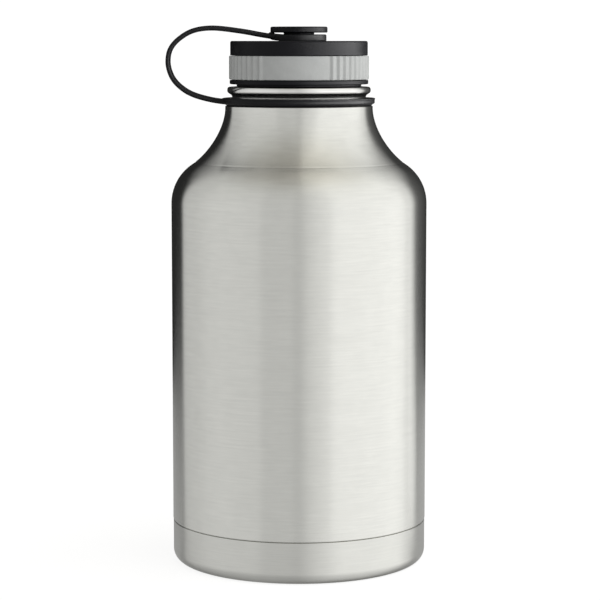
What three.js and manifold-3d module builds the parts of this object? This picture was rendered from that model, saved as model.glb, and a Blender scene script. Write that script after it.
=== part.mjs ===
// A vacuum-insulated steel growler with a screw cap and a silicone tether.
// Millimetres, +Z up. The origin is on the bottle's axis, in the plane that it stands on.
// -Y is the front, and the tether's loop is on the -X side.
import * as THREE from 'three';
import { mergeVertices } from 'three/addons/utils/BufferGeometryUtils.js';
import Module from 'manifold-3d';

const wasm = await Module();
wasm.setup();

// ---------------------------------------------------------------- driving dimensions

const GAP = 0.3; // left between pieces that touch
const EDGE = 0.3; // width of a small broken edge
const ROUND = 36; // sides of the large round pieces
const ROUND_SMALL = 28; // sides of the small round pieces
const ROUND_TINY = 20; // sides of screws and other hidden fittings

// Outer shell: straight body, convex shoulder, waisted neck.
const BODY_R = 62.5;
const SHELL_T = 0.8;
const SEAM_Z = 20.7; // weld between the shell and the base cup
const SHOULDER_Z = 177.2; // where the straight body ends
const SHOULDER_R = 22.6; // radius of the convex arc
const SHOULDER_TURN = THREE.MathUtils.degToRad(55.8);
const NECK_R = 36.0;
const NECK_Z = 223.8; // where the waist becomes the straight neck
const WAIST_PULLS = [11.0, 9.5]; // lengths of the two handles of the waist's curve
const LEDGE_Z = 224.6; // top of the shell, where it turns in under the tether's collar
const LEDGE_EDGE = 0.5; // the ledge's broken outer edge

// Base cup, cover disc and the seal between them.
const BASE_R = 62.35;
const FOOT_ROUND = 4.0;
const FOOT_IN_R = 54.0; // inner edge of the flat foot ring
const FOOT_SLOPE = 2.6; // radial width of the slope from the foot ring to the recess
const RECESS_Z = 3.2; // underside of the base inside the foot ring
const POCKET_R = 26.5; // pocket for the cover disc
const POCKET_Z = 5.6;
const PUMP_HOLE_R = 1.0;
const SEAL_R = 2.6;
const SEAL_T = 1.0;

// Inner vessel.
const LINER_R = 56.0;
const LINER_T = 0.6;
const LINER_SEAM_Z = 16.85;
const LINER_FLOOR_Z = 11.0;
const LINER_ROUND = 5.0;
const DISH_RISE = 1.0; // of the floor's middle over its rim
const DISH_BEND = [30.0, 0.6]; // radius and rise where the floor bends
const LINER_SHOULDER_Z = 174.0;
const LINER_SHOULDER_R = 20.0;
const LINER_TURN = THREE.MathUtils.degToRad(50);
const LINER_NECK_R = 26.6;
const LINER_NECK_Z = 214.0;
const LINER_WAIST_PULLS = [12.0, 10.0];
const FOIL_T = 0.3;
const FOIL_MARGIN = 2.0; // the foil stops this far short of the liner's seam and shoulder

// Getter, off the axis under the liner's floor.
const GETTER_X = 36.0;
const GETTER_R = 3.6;
const GETTER_Z = [8.6, 10.4];
const CLIP_T = 0.4;

// Neck ring: tether groove, bead and thread.
const RING_Z = 221.0; // its lower end, inside the shell's neck
const GROOVE_R = 32.6;
const RING_WALL = 1.0;
const BEAD_R = 35.0;
const BEAD_Z = [229.7, 233.75]; // foot of the bead's underside and its top
const BEAD_FACE_Z = [231.7, 232.7]; // its straight outer face
const RIM_Z = 249.6;
const THREAD_ROOT_R = 27.7;
const THREAD_CREST_R = 28.9;
const THREAD_HALF = [0.95, 0.55]; // half widths of a ridge at its root and its crest
const THREAD_TURNS = [0, 1];
const THREAD_LEAD = 8.4; // rise in one turn
const THREAD_STARTS = 2;
const THREAD_Z = 237.6; // middle of the first ridge at angle 0
const THREAD_STEPS = 24; // steps in one turn
const THREAD_RUN_OUT = 3; // steps over which a ridge fades at each end

// Cap.
const SKIRT_R = 30.4;
const SKIRT_IN_R = 29.3;
const SKIRT_Z = 234.0;
const CAP_CREST_R = 28.1;
const CAP_THREAD_HALF = [0.85, 0.45];
const CAP_THREAD_TURNS = [-0.3, 0.8];
const FLANGE_R = 33.8;
const FLANGE_Z = 235.2;
const COVER_R = 33.5;
const COVER_Z = [249.0, 256.0];
const COVER_T = 1.6;
const COVER_ROUND = 0.8;
const COVER_HOLE_R = 2.4;
const PLATE_R = 31.5; // top plate of the inner body, inside the cover
const PLATE_Z = [252.0, 254.1];
const PLATE_HOLE_R = 10.0;
const GASKET_OUT_R = 28.9;
const PLUG_R = 24.7;
const PLUG_T = 1.4;
const PLUG_Z = [238.0, 251.7];
const PLUG_ROUND = 3.0;
const FOAM_TOP_Z = 250.0;

// Grip band: smooth panels, and zones of upright ribs between them.
const BAND_R = 34.2; // over the ribs
const PANEL_R = 33.7;
const BAND_Z = [237.35, 248.7];
const PANELS = 3;
const PANEL_MIDDLE = -92.3; // angle of the first panel's middle, round the axis from +X
const FIRST_RIB = 31.15; // from a panel's middle to the nearest rib
const RIBS = 10; // in each zone
const RIB_HALF = 1.9; // half of a rib's width, in degrees

// Pivot: button, screw and washer.
const HEAD_R = 13.9;
const HEAD_Z = [260.2, 262.9];
const HEAD_ROUND = 0.6;
const POST_R = 7.4;
const SCREW_R = 1.9;
const SCREW_HEAD_R = 3.6;
const SCREW_HEAD_T = 2.0;
const WASHER_R = 5.0;
const WASHER_T = 0.9;

// Tether: collar, strap and eyelet.
const COLLAR_R = 37.5;
const COLLAR_T = 3.5;
const EYELET_R = 13.4;
const EYELET_Z = [256.3, 258.95];
const EYELET_EDGE = [0.4, 0.5];
const STRAP_T = 2.6;
const STRAP_W = 10.0;
const STRAP_STEPS = 14; // in each half
const STRAP_MIDDLE = 0.458; // share of the strap's length at its outermost point
const STRAP_SPLIT = 0.0014; // half of the gap between the halves, as a share of the length
const STOP_RIB = { x: -13.2, length: 1.2, height: 2.0 };

// ---------------------------------------------------------------- materials

const steel = new THREE.MeshStandardMaterial({ color: 0xd2d2ce, roughness: 0.35, metalness: 1.0 });
const linerSteel = new THREE.MeshStandardMaterial({ color: 0xbfbfbb, roughness: 0.3, metalness: 1.0 });
const blackPlastic = new THREE.MeshStandardMaterial({ color: 0x1a1a1c, roughness: 0.5, metalness: 0.0 });
const greyGrip = new THREE.MeshStandardMaterial({ color: 0xa3a7a8, roughness: 0.7, metalness: 0.0 });
const silicone = new THREE.MeshStandardMaterial({ color: 0x1d1d1e, roughness: 0.65, metalness: 0.0 });
const clearSeal = new THREE.MeshStandardMaterial({ color: 0xe6e6e2, roughness: 0.6, metalness: 0.0 });
const foam = new THREE.MeshStandardMaterial({ color: 0xe9e4d2, roughness: 0.95, metalness: 0.0 });
const foil = new THREE.MeshStandardMaterial({ color: 0xc98a5a, roughness: 0.25, metalness: 1.0 });
const getterMetal = new THREE.MeshStandardMaterial({ color: 0x77787a, roughness: 0.6, metalness: 0.9 });

// ---------------------------------------------------------------- shape helpers

const v2 = (r, z) => new THREE.Vector2(r, z);

// Points along an arc in the (r, z) half plane, angles in degrees from the +r direction.
function arc(r, z, radius, from, to, steps) {
  const points = [];
  for (let i = 0; i <= steps; i++) {
    const a = THREE.MathUtils.degToRad(from + ((to - from) * i) / steps);
    points.push(v2(r + radius * Math.cos(a), z + radius * Math.sin(a)));
  }
  return points;
}

// A polyline moved sideways, to its left when the distance is positive.
function offset(points, distance) {
  return points.map((p, i) => {
    const before = points[Math.max(i - 1, 0)];
    const after = points[Math.min(i + 1, points.length - 1)];
    const along = after.clone().sub(before).normalize();
    return v2(p.x - along.y * distance, p.y + along.x * distance);
  });
}

// A body of revolution about Z. The profile runs anticlockwise in (r, z), with +r to the right:
// it starts and ends on the axis, or is closed here by repeating its first point.
function turned(profile, sides = ROUND) {
  const onAxis = profile[0].x === 0 && profile[profile.length - 1].x === 0;
  const line = onAxis ? profile : [...profile, profile[0].clone()];
  return new THREE.LatheGeometry(line, sides).rotateX(Math.PI / 2);
}

// A flat outline in (x, z), extruded to a width that is centred on the XZ plane.
function extrudedAcrossY(outline, width) {
  const geometry = new THREE.ExtrudeGeometry(outline, { depth: width, bevelEnabled: false });
  return geometry.rotateX(Math.PI / 2).translate(0, width / 2, 0);
}

function toSolid(geometry) {
  const bare = geometry.clone();
  bare.deleteAttribute('normal');
  bare.deleteAttribute('uv');
  const merged = mergeVertices(bare, 1e-4);
  return new wasm.Manifold(new wasm.Mesh({
    numProp: 3,
    vertProperties: new Float32Array(merged.attributes.position.array),
    triVerts: new Uint32Array(merged.index.array),
  }));
}

function toGeometry(solid) {
  const mesh = solid.getMesh();
  const geometry = new THREE.BufferGeometry();
  geometry.setAttribute('position', new THREE.BufferAttribute(mesh.vertProperties, 3));
  geometry.setIndex(new THREE.BufferAttribute(mesh.triVerts, 1));
  return geometry;
}

function join(...geometries) {
  const [first, ...rest] = geometries.map(toSolid);
  return toGeometry(rest.reduce((whole, piece) => whole.add(piece), first));
}

// One helical ridge of trapezoid section, from one turn number to another. Its middle is at
// height z at turn 0, and it fades over its first and last few steps.
function ridge({ rootR, crestR, z, turns: [from, to], half: [baseHalf, crestHalf] }) {
  const steps = Math.round((to - from) * THREAD_STEPS);
  const sink = 0.4; // the root edge sinks this far into the wall
  const buried = Math.sign(rootR - crestR) * sink;
  const position = [];
  const index = [];
  for (let i = 0; i <= steps; i++) {
    const turn = from + ((to - from) * i) / steps;
    const a = turn * 2 * Math.PI;
    const height = Math.min(1, (Math.min(i, steps - i) + 0.5) / THREAD_RUN_OUT);
    const middle = z + THREAD_LEAD * turn;
    const crest = rootR + (crestR - rootR) * height;
    const section = [
      [rootR + buried, -baseHalf],
      [crest, -crestHalf],
      [crest, crestHalf],
      [rootR + buried, baseHalf],
    ];
    for (const [r, dz] of section) position.push(r * Math.cos(a), r * Math.sin(a), middle + dz);
  }
  const quad = (a, b, c, d) => index.push(a, b, c, a, c, d);
  for (let i = 0; i < steps; i++) {
    for (let k = 0; k < 4; k++) {
      const next = (k + 1) % 4;
      quad(4 * i + k, 4 * i + next, 4 * i + 4 + next, 4 * i + 4 + k);
    }
  }
  quad(3, 2, 1, 0);
  quad(4 * steps, 4 * steps + 1, 4 * steps + 2, 4 * steps + 3);
  if (crestR > rootR) index.reverse();
  const geometry = new THREE.BufferGeometry();
  geometry.setAttribute('position', new THREE.Float32BufferAttribute(position, 3));
  geometry.setIndex(index);
  return geometry;
}

// The ridges of every start, each turned by its share of a circle.
function thread(settings) {
  const ridges = [];
  for (let k = 0; k < THREAD_STARTS; k++) {
    ridges.push(ridge(settings).rotateZ((k * 2 * Math.PI) / THREAD_STARTS));
  }
  return ridges;
}

// ---------------------------------------------------------------- bottle

// A vessel's side seen in section: straight wall, convex shoulder, waist, straight neck.
function vesselSide({ r, bottom, shoulderZ, shoulderR, turn, neckR, neckZ, pulls, steps }) {
  const degrees = THREE.MathUtils.radToDeg(turn);
  const shoulder = arc(r - shoulderR, shoulderZ, shoulderR, 0, degrees, steps[0]);
  const end = shoulder[shoulder.length - 1];
  const waist = new THREE.CubicBezierCurve(
    end,
    v2(end.x - pulls[0] * Math.sin(turn), end.y + pulls[0] * Math.cos(turn)),
    v2(neckR, neckZ - pulls[1]),
    v2(neckR, neckZ),
  );
  return [v2(r, bottom), ...shoulder, ...waist.getPoints(steps[1]).slice(1)];
}

function outerShell() {
  const side = vesselSide({
    r: BODY_R,
    bottom: SEAM_Z + GAP / 2,
    shoulderZ: SHOULDER_Z,
    shoulderR: SHOULDER_R,
    turn: SHOULDER_TURN,
    neckR: NECK_R,
    neckZ: NECK_Z,
    pulls: WAIST_PULLS,
    steps: [4, 6],
  });
  const inside = offset(side, SHELL_T).slice(0, -1).reverse();
  const hole = GROOVE_R + GAP;
  return turned([
    ...side,
    v2(NECK_R - LEDGE_EDGE, LEDGE_Z),
    v2(hole, LEDGE_Z),
    v2(hole, LEDGE_Z - SHELL_T),
    v2(NECK_R - SHELL_T, LEDGE_Z - SHELL_T),
    ...inside,
  ]);
}

function baseCup() {
  const inR = BASE_R - SHELL_T;
  const footR = BASE_R - FOOT_ROUND;
  const top = SEAM_Z - GAP / 2;
  const floor = RECESS_Z + SHELL_T;
  return turned([
    v2(PUMP_HOLE_R, POCKET_Z),
    v2(POCKET_R, POCKET_Z),
    v2(POCKET_R, RECESS_Z),
    v2(FOOT_IN_R - FOOT_SLOPE, RECESS_Z),
    v2(FOOT_IN_R - 2 * EDGE, 2 * EDGE),
    v2(FOOT_IN_R, 0),
    ...arc(footR, FOOT_ROUND, FOOT_ROUND, -90, 0, 4),
    v2(BASE_R, top),
    v2(inR, top),
    ...arc(footR, FOOT_ROUND, FOOT_ROUND - SHELL_T, 0, -90, 3),
    v2(FOOT_IN_R + EDGE, SHELL_T),
    v2(FOOT_IN_R + EDGE - FOOT_SLOPE, floor),
    v2(POCKET_R + SHELL_T, floor),
    v2(POCKET_R + SHELL_T, POCKET_Z + SHELL_T),
    v2(PUMP_HOLE_R, POCKET_Z + SHELL_T),
  ]);
}

function baseCoverDisc() {
  const r = POCKET_R - GAP;
  const top = RECESS_Z + SHELL_T;
  return turned([v2(0, RECESS_Z), v2(r - EDGE, RECESS_Z), v2(r, RECESS_Z + EDGE), v2(r, top), v2(0, top)]);
}

function vacuumSealBead() {
  const top = POCKET_Z - GAP;
  const profile = [
    v2(0, top - SEAL_T),
    v2(SEAL_R - 3 * EDGE, top - 0.8 * SEAL_T),
    v2(SEAL_R, top - EDGE),
    v2(SEAL_R, top),
    v2(0, top),
  ];
  return turned(profile, ROUND_TINY);
}

function innerVessel() {
  const side = vesselSide({
    r: LINER_R,
    bottom: LINER_SEAM_Z + GAP / 2,
    shoulderZ: LINER_SHOULDER_Z,
    shoulderR: LINER_SHOULDER_R,
    turn: LINER_TURN,
    neckR: LINER_NECK_R,
    neckZ: LINER_NECK_Z,
    pulls: LINER_WAIST_PULLS,
    steps: [3, 5],
  });
  const wall = [...side, v2(LINER_NECK_R, RIM_Z)];
  return turned([...wall, ...offset(wall, LINER_T).reverse()]);
}

function innerBaseDish() {
  const [bendR, bendRise] = DISH_BEND;
  const flatR = LINER_R - LINER_ROUND;
  const middle = LINER_FLOOR_Z + LINER_ROUND;
  const top = LINER_SEAM_Z - GAP / 2;
  return turned([
    v2(0, LINER_FLOOR_Z + DISH_RISE),
    v2(bendR, LINER_FLOOR_Z + bendRise),
    ...arc(flatR, middle, LINER_ROUND, -90, 0, 3),
    v2(LINER_R, top),
    v2(LINER_R - LINER_T, top),
    ...arc(flatR, middle, LINER_ROUND - LINER_T, 0, -90, 3),
    v2(bendR, LINER_FLOOR_Z + bendRise + LINER_T),
    v2(0, LINER_FLOOR_Z + DISH_RISE + LINER_T),
  ]);
}

function reflectiveFoil() {
  const inR = LINER_R + GAP;
  const bottom = LINER_SEAM_Z + FOIL_MARGIN;
  const top = LINER_SHOULDER_Z - FOIL_MARGIN;
  return turned([v2(inR + FOIL_T, bottom), v2(inR + FOIL_T, top), v2(inR, top), v2(inR, bottom)]);
}

function getterPellet() {
  const [low, high] = GETTER_Z;
  const disc = turned([v2(0, low), v2(GETTER_R, low), v2(GETTER_R, high), v2(0, high)], ROUND_TINY);
  return disc.translate(GETTER_X, 0, 0);
}

function getterClip() {
  const half = GETTER_R + 2 * GAP + CLIP_T;
  const low = GETTER_Z[0] - GAP - CLIP_T;
  const high = GETTER_Z[1] + 2 * GAP;
  const outline = new THREE.Shape([
    v2(GETTER_X - half, low),
    v2(GETTER_X + half, low),
    v2(GETTER_X + half, high),
    v2(GETTER_X + half - CLIP_T, high),
    v2(GETTER_X + half - CLIP_T, low + CLIP_T),
    v2(GETTER_X - half + CLIP_T, low + CLIP_T),
    v2(GETTER_X - half + CLIP_T, high),
    v2(GETTER_X - half, high),
  ]);
  return extrudedAcrossY(outline, 2 * GETTER_R);
}

function neckRing() {
  const boreR = LINER_NECK_R + GAP;
  const inR = GROOVE_R - RING_WALL;
  const [foot, top] = BEAD_Z;
  const [faceLow, faceHigh] = BEAD_FACE_Z;
  const body = turned([
    v2(GROOVE_R, RING_Z),
    v2(GROOVE_R, foot),
    v2(BEAD_R - 0.5, faceLow - 0.8),
    v2(BEAD_R, faceLow),
    v2(BEAD_R, faceHigh),
    v2(BEAD_R - 0.4, faceHigh + 0.7),
    v2(BEAD_R - 1.2, top),
    v2(THREAD_ROOT_R, top),
    v2(THREAD_ROOT_R, RIM_Z - EDGE),
    v2(THREAD_ROOT_R - EDGE, RIM_Z),
    v2(boreR, RIM_Z),
    v2(boreR, top - RING_WALL),
    v2(inR, foot + EDGE),
    v2(inR, RING_Z),
  ]);
  const ridges = thread({
    rootR: THREAD_ROOT_R,
    crestR: THREAD_CREST_R,
    z: THREAD_Z,
    turns: THREAD_TURNS,
    half: THREAD_HALF,
  });
  return join(body, ...ridges);
}

// ---------------------------------------------------------------- tether

// The strap's centreline in the XZ plane, from the collar round the loop to the eyelet.
const strapLine = new THREE.SplineCurve([
  v2(-34.6, 226.4),
  v2(-38.5, 226.8),
  v2(-43.3, 227.6),
  v2(-50.0, 229.4),
  v2(-55.3, 231.9),
  v2(-59.9, 235.8),
  v2(-62.6, 240.2),
  v2(-63.8, 245.8),
  v2(-62.7, 251.8),
  v2(-58.6, 256.8),
  v2(-51.5, 260.9),
  v2(-41.9, 262.2),
  v2(-28.7, 260.8),
  v2(-18.5, 259.0),
  v2(-10.8, 257.65),
]);

function strap(from, to) {
  const lower = [];
  const upper = [];
  for (let i = 0; i <= STRAP_STEPS; i++) {
    const share = from + ((to - from) * i) / STRAP_STEPS;
    const middle = strapLine.getPointAt(share);
    const along = strapLine.getTangentAt(share);
    const across = v2(along.y, -along.x).multiplyScalar(STRAP_T / 2);
    lower.push(middle.clone().add(across));
    upper.unshift(middle.clone().sub(across));
  }
  return extrudedAcrossY(new THREE.Shape([...lower, ...upper]), STRAP_W);
}

function tetherLower() {
  const inR = GROOVE_R + GAP;
  const bottom = LEDGE_Z + GAP;
  const collar = turned([
    v2(COLLAR_R - 2.5, bottom),
    v2(COLLAR_R - 1.9, bottom + 0.2 * COLLAR_T),
    v2(COLLAR_R - 0.4, bottom + 0.55 * COLLAR_T),
    v2(COLLAR_R, bottom + 0.85 * COLLAR_T),
    v2(COLLAR_R - 0.1, bottom + COLLAR_T),
    v2(COLLAR_R - 1, bottom + COLLAR_T),
    v2(COLLAR_R - 2.4, bottom + 0.8 * COLLAR_T),
    v2(inR, bottom + 0.7 * COLLAR_T),
    v2(inR, bottom),
  ]);
  return join(collar, strap(0, STRAP_MIDDLE - STRAP_SPLIT));
}

function tetherUpper() {
  const [low, high] = EYELET_Z;
  const [edgeIn, edgeUp] = EYELET_EDGE;
  const holeR = POST_R + 0.5;
  const eyelet = turned([
    v2(EYELET_R - edgeIn, low),
    v2(EYELET_R, low + edgeUp),
    v2(EYELET_R, high - edgeUp),
    v2(EYELET_R - edgeIn, high),
    v2(holeR, high),
    v2(holeR, low),
  ], ROUND_SMALL);
  const { x, length, height } = STOP_RIB;
  const stopRib = new THREE.BoxGeometry(length, STRAP_W - 1, height);
  stopRib.translate(x, 0, HEAD_Z[0] - GAP - height / 2);
  return join(eyelet, strap(STRAP_MIDDLE + STRAP_SPLIT, 1), stopRib);
}

// ---------------------------------------------------------------- cap

function capInnerBody() {
  const flangeTop = BAND_Z[0] - GAP;
  const body = turned([
    v2(SKIRT_R, SKIRT_Z),
    v2(SKIRT_R, FLANGE_Z),
    v2(FLANGE_R - EDGE, FLANGE_Z),
    v2(FLANGE_R, FLANGE_Z + EDGE),
    v2(FLANGE_R, flangeTop - EDGE),
    v2(FLANGE_R - EDGE, flangeTop),
    v2(SKIRT_R, flangeTop),
    v2(SKIRT_R, COVER_Z[0]),
    v2(PLATE_R, COVER_Z[0]),
    v2(PLATE_R, PLATE_Z[1] - EDGE),
    v2(PLATE_R - EDGE, PLATE_Z[1]),
    v2(PLATE_HOLE_R, PLATE_Z[1]),
    v2(PLATE_HOLE_R, PLATE_Z[0]),
    v2(SKIRT_IN_R, PLATE_Z[0]),
    v2(SKIRT_IN_R, SKIRT_Z),
  ]);
  const ridges = thread({
    rootR: SKIRT_IN_R,
    crestR: CAP_CREST_R,
    z: THREAD_Z + THREAD_LEAD / THREAD_STARTS / 2,
    turns: CAP_THREAD_TURNS,
    half: CAP_THREAD_HALF,
  });
  return join(body, ...ridges);
}

// Outline of the grip band: round panels, and zones of evenly spaced ribs.
function gripBand() {
  const point = (r, degrees) => {
    const a = THREE.MathUtils.degToRad(degrees);
    return v2(r * Math.cos(a), r * Math.sin(a));
  };
  const outline = [];
  const share = 360 / PANELS;
  const pitch = (share - 2 * FIRST_RIB) / (RIBS - 1);
  const panelHalf = FIRST_RIB - pitch / 2;
  const panelSteps = 8;
  for (let panel = 0; panel < PANELS; panel++) {
    const middle = PANEL_MIDDLE + share * panel;
    for (let i = 0; i <= panelSteps; i++) {
      outline.push(point(PANEL_R, middle + panelHalf * ((2 * i) / panelSteps - 1)));
    }
    for (let k = 0; k < RIBS; k++) {
      const rib = middle + FIRST_RIB + pitch * k;
      outline.push(point(PANEL_R, rib - RIB_HALF));
      outline.push(point(BAND_R, rib));
      outline.push(point(PANEL_R, rib + RIB_HALF));
    }
  }
  const shape = new THREE.Shape(outline);
  const inside = [];
  for (let i = 0; i < ROUND; i++) inside.push(point(SKIRT_R + GAP, (-360 * i) / ROUND));
  shape.holes.push(new THREE.Path(inside));
  const [low, high] = BAND_Z;
  const band = new THREE.ExtrudeGeometry(shape, { depth: high - low, bevelEnabled: false });
  return band.translate(0, 0, low);
}

function capTopCover() {
  const [low, high] = COVER_Z;
  return turned([
    v2(COVER_R, low),
    ...arc(COVER_R - COVER_ROUND, high - COVER_ROUND, COVER_ROUND, 0, 90, 2),
    v2(COVER_HOLE_R, high),
    v2(COVER_HOLE_R, high - COVER_T),
    v2(COVER_R - COVER_T, high - COVER_T),
    v2(COVER_R - COVER_T, low),
  ]);
}

function capGasket() {
  const low = RIM_Z + GAP;
  const high = PLATE_Z[0] - GAP;
  const inR = PLUG_R + GAP;
  return turned([v2(GASKET_OUT_R, low), v2(GASKET_OUT_R, high), v2(inR, high), v2(inR, low)]);
}

function capPlugCup() {
  const [low, high] = PLUG_Z;
  const inR = PLUG_R - PLUG_T;
  const insideRound = PLUG_ROUND - PLUG_T;
  return turned([
    v2(0, low),
    ...arc(PLUG_R - PLUG_ROUND, low + PLUG_ROUND, PLUG_ROUND, -90, 0, 3),
    v2(PLUG_R, high),
    v2(inR, high),
    v2(inR, low + PLUG_T + insideRound),
    v2(inR - insideRound, low + PLUG_T),
    v2(0, low + PLUG_T),
  ]);
}

function capInsulation() {
  const r = PLUG_R - PLUG_T - GAP;
  const low = PLUG_Z[0] + PLUG_T + GAP;
  const chamfer = PLUG_ROUND - PLUG_T;
  return turned([
    v2(0, low),
    v2(r - chamfer, low),
    v2(r, low + chamfer),
    v2(r, FOAM_TOP_Z),
    v2(0, FOAM_TOP_Z),
  ], ROUND_SMALL);
}

const washerTop = COVER_Z[1] - COVER_T - GAP;

function pivotWasher() {
  const low = washerTop - WASHER_T;
  const holeR = SCREW_R + GAP;
  const profile = [v2(WASHER_R, low), v2(WASHER_R, washerTop), v2(holeR, washerTop), v2(holeR, low)];
  return turned(profile, ROUND_TINY);
}

function pivotScrew() {
  const seat = washerTop - WASHER_T - GAP;
  const tip = HEAD_Z[0] + 0.8;
  return turned([
    v2(0, seat - SCREW_HEAD_T),
    v2(SCREW_HEAD_R - 0.8, seat - SCREW_HEAD_T),
    v2(SCREW_HEAD_R, seat - SCREW_HEAD_T + 0.7),
    v2(SCREW_HEAD_R, seat),
    v2(SCREW_R, seat),
    v2(SCREW_R, tip - 0.4),
    v2(0, tip),
  ], ROUND_TINY);
}

function pivotButton() {
  const [low, high] = HEAD_Z;
  const holeR = SCREW_R + GAP;
  const roof = 1.5; // of the head over the screw's hole
  return turned([
    v2(0, high - roof),
    v2(holeR, high - roof),
    v2(holeR, EYELET_Z[0]),
    v2(POST_R, EYELET_Z[0]),
    v2(POST_R, low),
    v2(HEAD_R - EDGE, low),
    v2(HEAD_R, low + EDGE),
    ...arc(HEAD_R - HEAD_ROUND, high - HEAD_ROUND, HEAD_ROUND, 0, 90, 2),
    v2(0, high),
  ], ROUND_SMALL);
}

// ---------------------------------------------------------------- assembly

const growler = new THREE.Group();
growler.name = 'growler';

function add(name, geometry, material) {
  const mesh = new THREE.Mesh(geometry, material);
  mesh.name = name;
  growler.add(mesh);
}

add('outer_shell', outerShell(), steel);
add('base_cup', baseCup(), steel);
add('base_cover_disc', baseCoverDisc(), steel);
add('vacuum_seal_bead', vacuumSealBead(), clearSeal);
add('inner_vessel', innerVessel(), linerSteel);
add('inner_base_dish', innerBaseDish(), linerSteel);
add('reflective_foil', reflectiveFoil(), foil);
add('getter_pellet', getterPellet(), getterMetal);
add('getter_clip', getterClip(), linerSteel);
add('neck_ring', neckRing(), steel);
add('tether_lower', tetherLower(), silicone);
add('tether_upper', tetherUpper(), silicone);
add('cap_inner_body', capInnerBody(), blackPlastic);
add('grip_band', gripBand(), greyGrip);
add('cap_top_cover', capTopCover(), blackPlastic);
add('cap_gasket', capGasket(), silicone);
add('cap_plug_cup', capPlugCup(), blackPlastic);
add('cap_insulation', capInsulation(), foam);
add('pivot_button', pivotButton(), blackPlastic);
add('pivot_screw', pivotScrew(), getterMetal);
add('pivot_washer', pivotWasher(), getterMetal);

export default growler;
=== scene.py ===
"""The looks of a steel growler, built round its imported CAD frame. Blender 4.5, metres, +Z up."""
import math

import bpy
import numpy as np
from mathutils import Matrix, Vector

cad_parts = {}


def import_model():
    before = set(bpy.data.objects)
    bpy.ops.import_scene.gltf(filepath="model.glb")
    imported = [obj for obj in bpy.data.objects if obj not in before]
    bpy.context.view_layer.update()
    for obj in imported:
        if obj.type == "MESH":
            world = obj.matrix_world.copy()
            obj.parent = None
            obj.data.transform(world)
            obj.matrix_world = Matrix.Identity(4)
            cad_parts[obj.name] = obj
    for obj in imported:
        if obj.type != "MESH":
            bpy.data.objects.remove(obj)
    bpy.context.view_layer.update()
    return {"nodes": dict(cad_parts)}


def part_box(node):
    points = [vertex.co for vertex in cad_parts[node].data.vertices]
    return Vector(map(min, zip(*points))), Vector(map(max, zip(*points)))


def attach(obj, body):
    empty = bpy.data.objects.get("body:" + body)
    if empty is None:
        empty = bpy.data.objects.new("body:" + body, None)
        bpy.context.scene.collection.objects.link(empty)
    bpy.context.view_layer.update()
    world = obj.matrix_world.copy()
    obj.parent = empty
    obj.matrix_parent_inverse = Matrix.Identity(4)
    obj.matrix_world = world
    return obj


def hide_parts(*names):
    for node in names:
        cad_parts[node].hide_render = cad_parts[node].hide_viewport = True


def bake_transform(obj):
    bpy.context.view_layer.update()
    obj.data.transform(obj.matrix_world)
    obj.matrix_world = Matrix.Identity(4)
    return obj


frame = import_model()

# ------------------------------------------------------------------ sizes

MM = 0.001
SIDES = 256  # of a turned piece
SIDES_SMALL = 128
SIDES_RIBBED = 960
SAME = 0.01 * MM  # radii closer than this count as equal
ON_AXIS = 1e-9  # a radius below this is a point on the axis


def node_low(node):
    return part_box(node)[0]


def node_high(node):
    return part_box(node)[1]


BODY_R = node_high("outer_shell").y
SHELL_Z = node_low("outer_shell").z
LEDGE_Z = node_high("outer_shell").z
BASE_R = node_high("base_cup").y
BASE_TOP_Z = node_high("base_cup").z
DISC_R = node_high("base_cover_disc").y
DISC_Z = node_low("base_cover_disc").z
LINER_R = node_high("inner_vessel").y
LINER_Z = node_low("inner_vessel").z
RIM_Z = node_high("neck_ring").z
RING_Z = node_low("neck_ring").z
BEAD_R = node_high("neck_ring").y
COLLAR_R = node_high("tether_lower").y
COLLAR_Z = node_low("tether_lower").z
EYELET_R = node_high("tether_upper").y
SKIRT_Z = node_low("cap_inner_body").z
PLATE_Z = node_high("cap_inner_body").z
FLANGE_R = node_high("cap_inner_body").y
BAND_R = node_high("grip_band").x  # over a rib's crest
BAND_LOW_Z = node_low("grip_band").z
BAND_HIGH_Z = node_high("grip_band").z
COVER_R = node_high("cap_top_cover").y
COVER_LOW_Z = node_low("cap_top_cover").z
COVER_HIGH_Z = node_high("cap_top_cover").z
HEAD_R = node_high("pivot_button").y
HEAD_HIGH_Z = node_high("pivot_button").z
POST_LOW_Z = node_low("pivot_button").z
GASKET_R = node_high("cap_gasket").y
PLUG_R = node_high("cap_plug_cup").y

SHELL_T = 0.8 * MM
LINER_T = 0.6 * MM
FOIL_T = 0.25 * MM
NECK_R = 36.0 * MM
GROOVE_R = 32.6 * MM
FIT = 0.3 * MM  # play between pieces that touch
THREAD_Z = 237.6 * MM
THREAD_LEAD = 8.4 * MM
THREAD_STARTS = 2
CREST_RISE = 1.2 * MM
ROW_STEP = 0.22 * MM  # between the rows of a threaded wall

# ------------------------------------------------------------------ mesh helpers


def arc(r, z, radius, start, end, steps):
    """Points on an arc in the (r, z) half plane, angles in degrees from +r."""
    angles = np.radians(np.linspace(start, end, steps + 1))
    return [(r + radius * math.cos(a), z + radius * math.sin(a)) for a in angles]


def bezier(p0, p1, p2, p3, steps):
    """Points on a cubic curve from p0 to p3."""
    points = []
    for t in np.linspace(0, 1, steps + 1):
        weights = ((1 - t) ** 3, 3 * t * (1 - t) ** 2, 3 * t * t * (1 - t), t**3)
        pulled = list(zip(weights, (p0, p1, p2, p3)))
        points.append(tuple(sum(w * p[i] for w, p in pulled) for i in (0, 1)))
    return points


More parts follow.
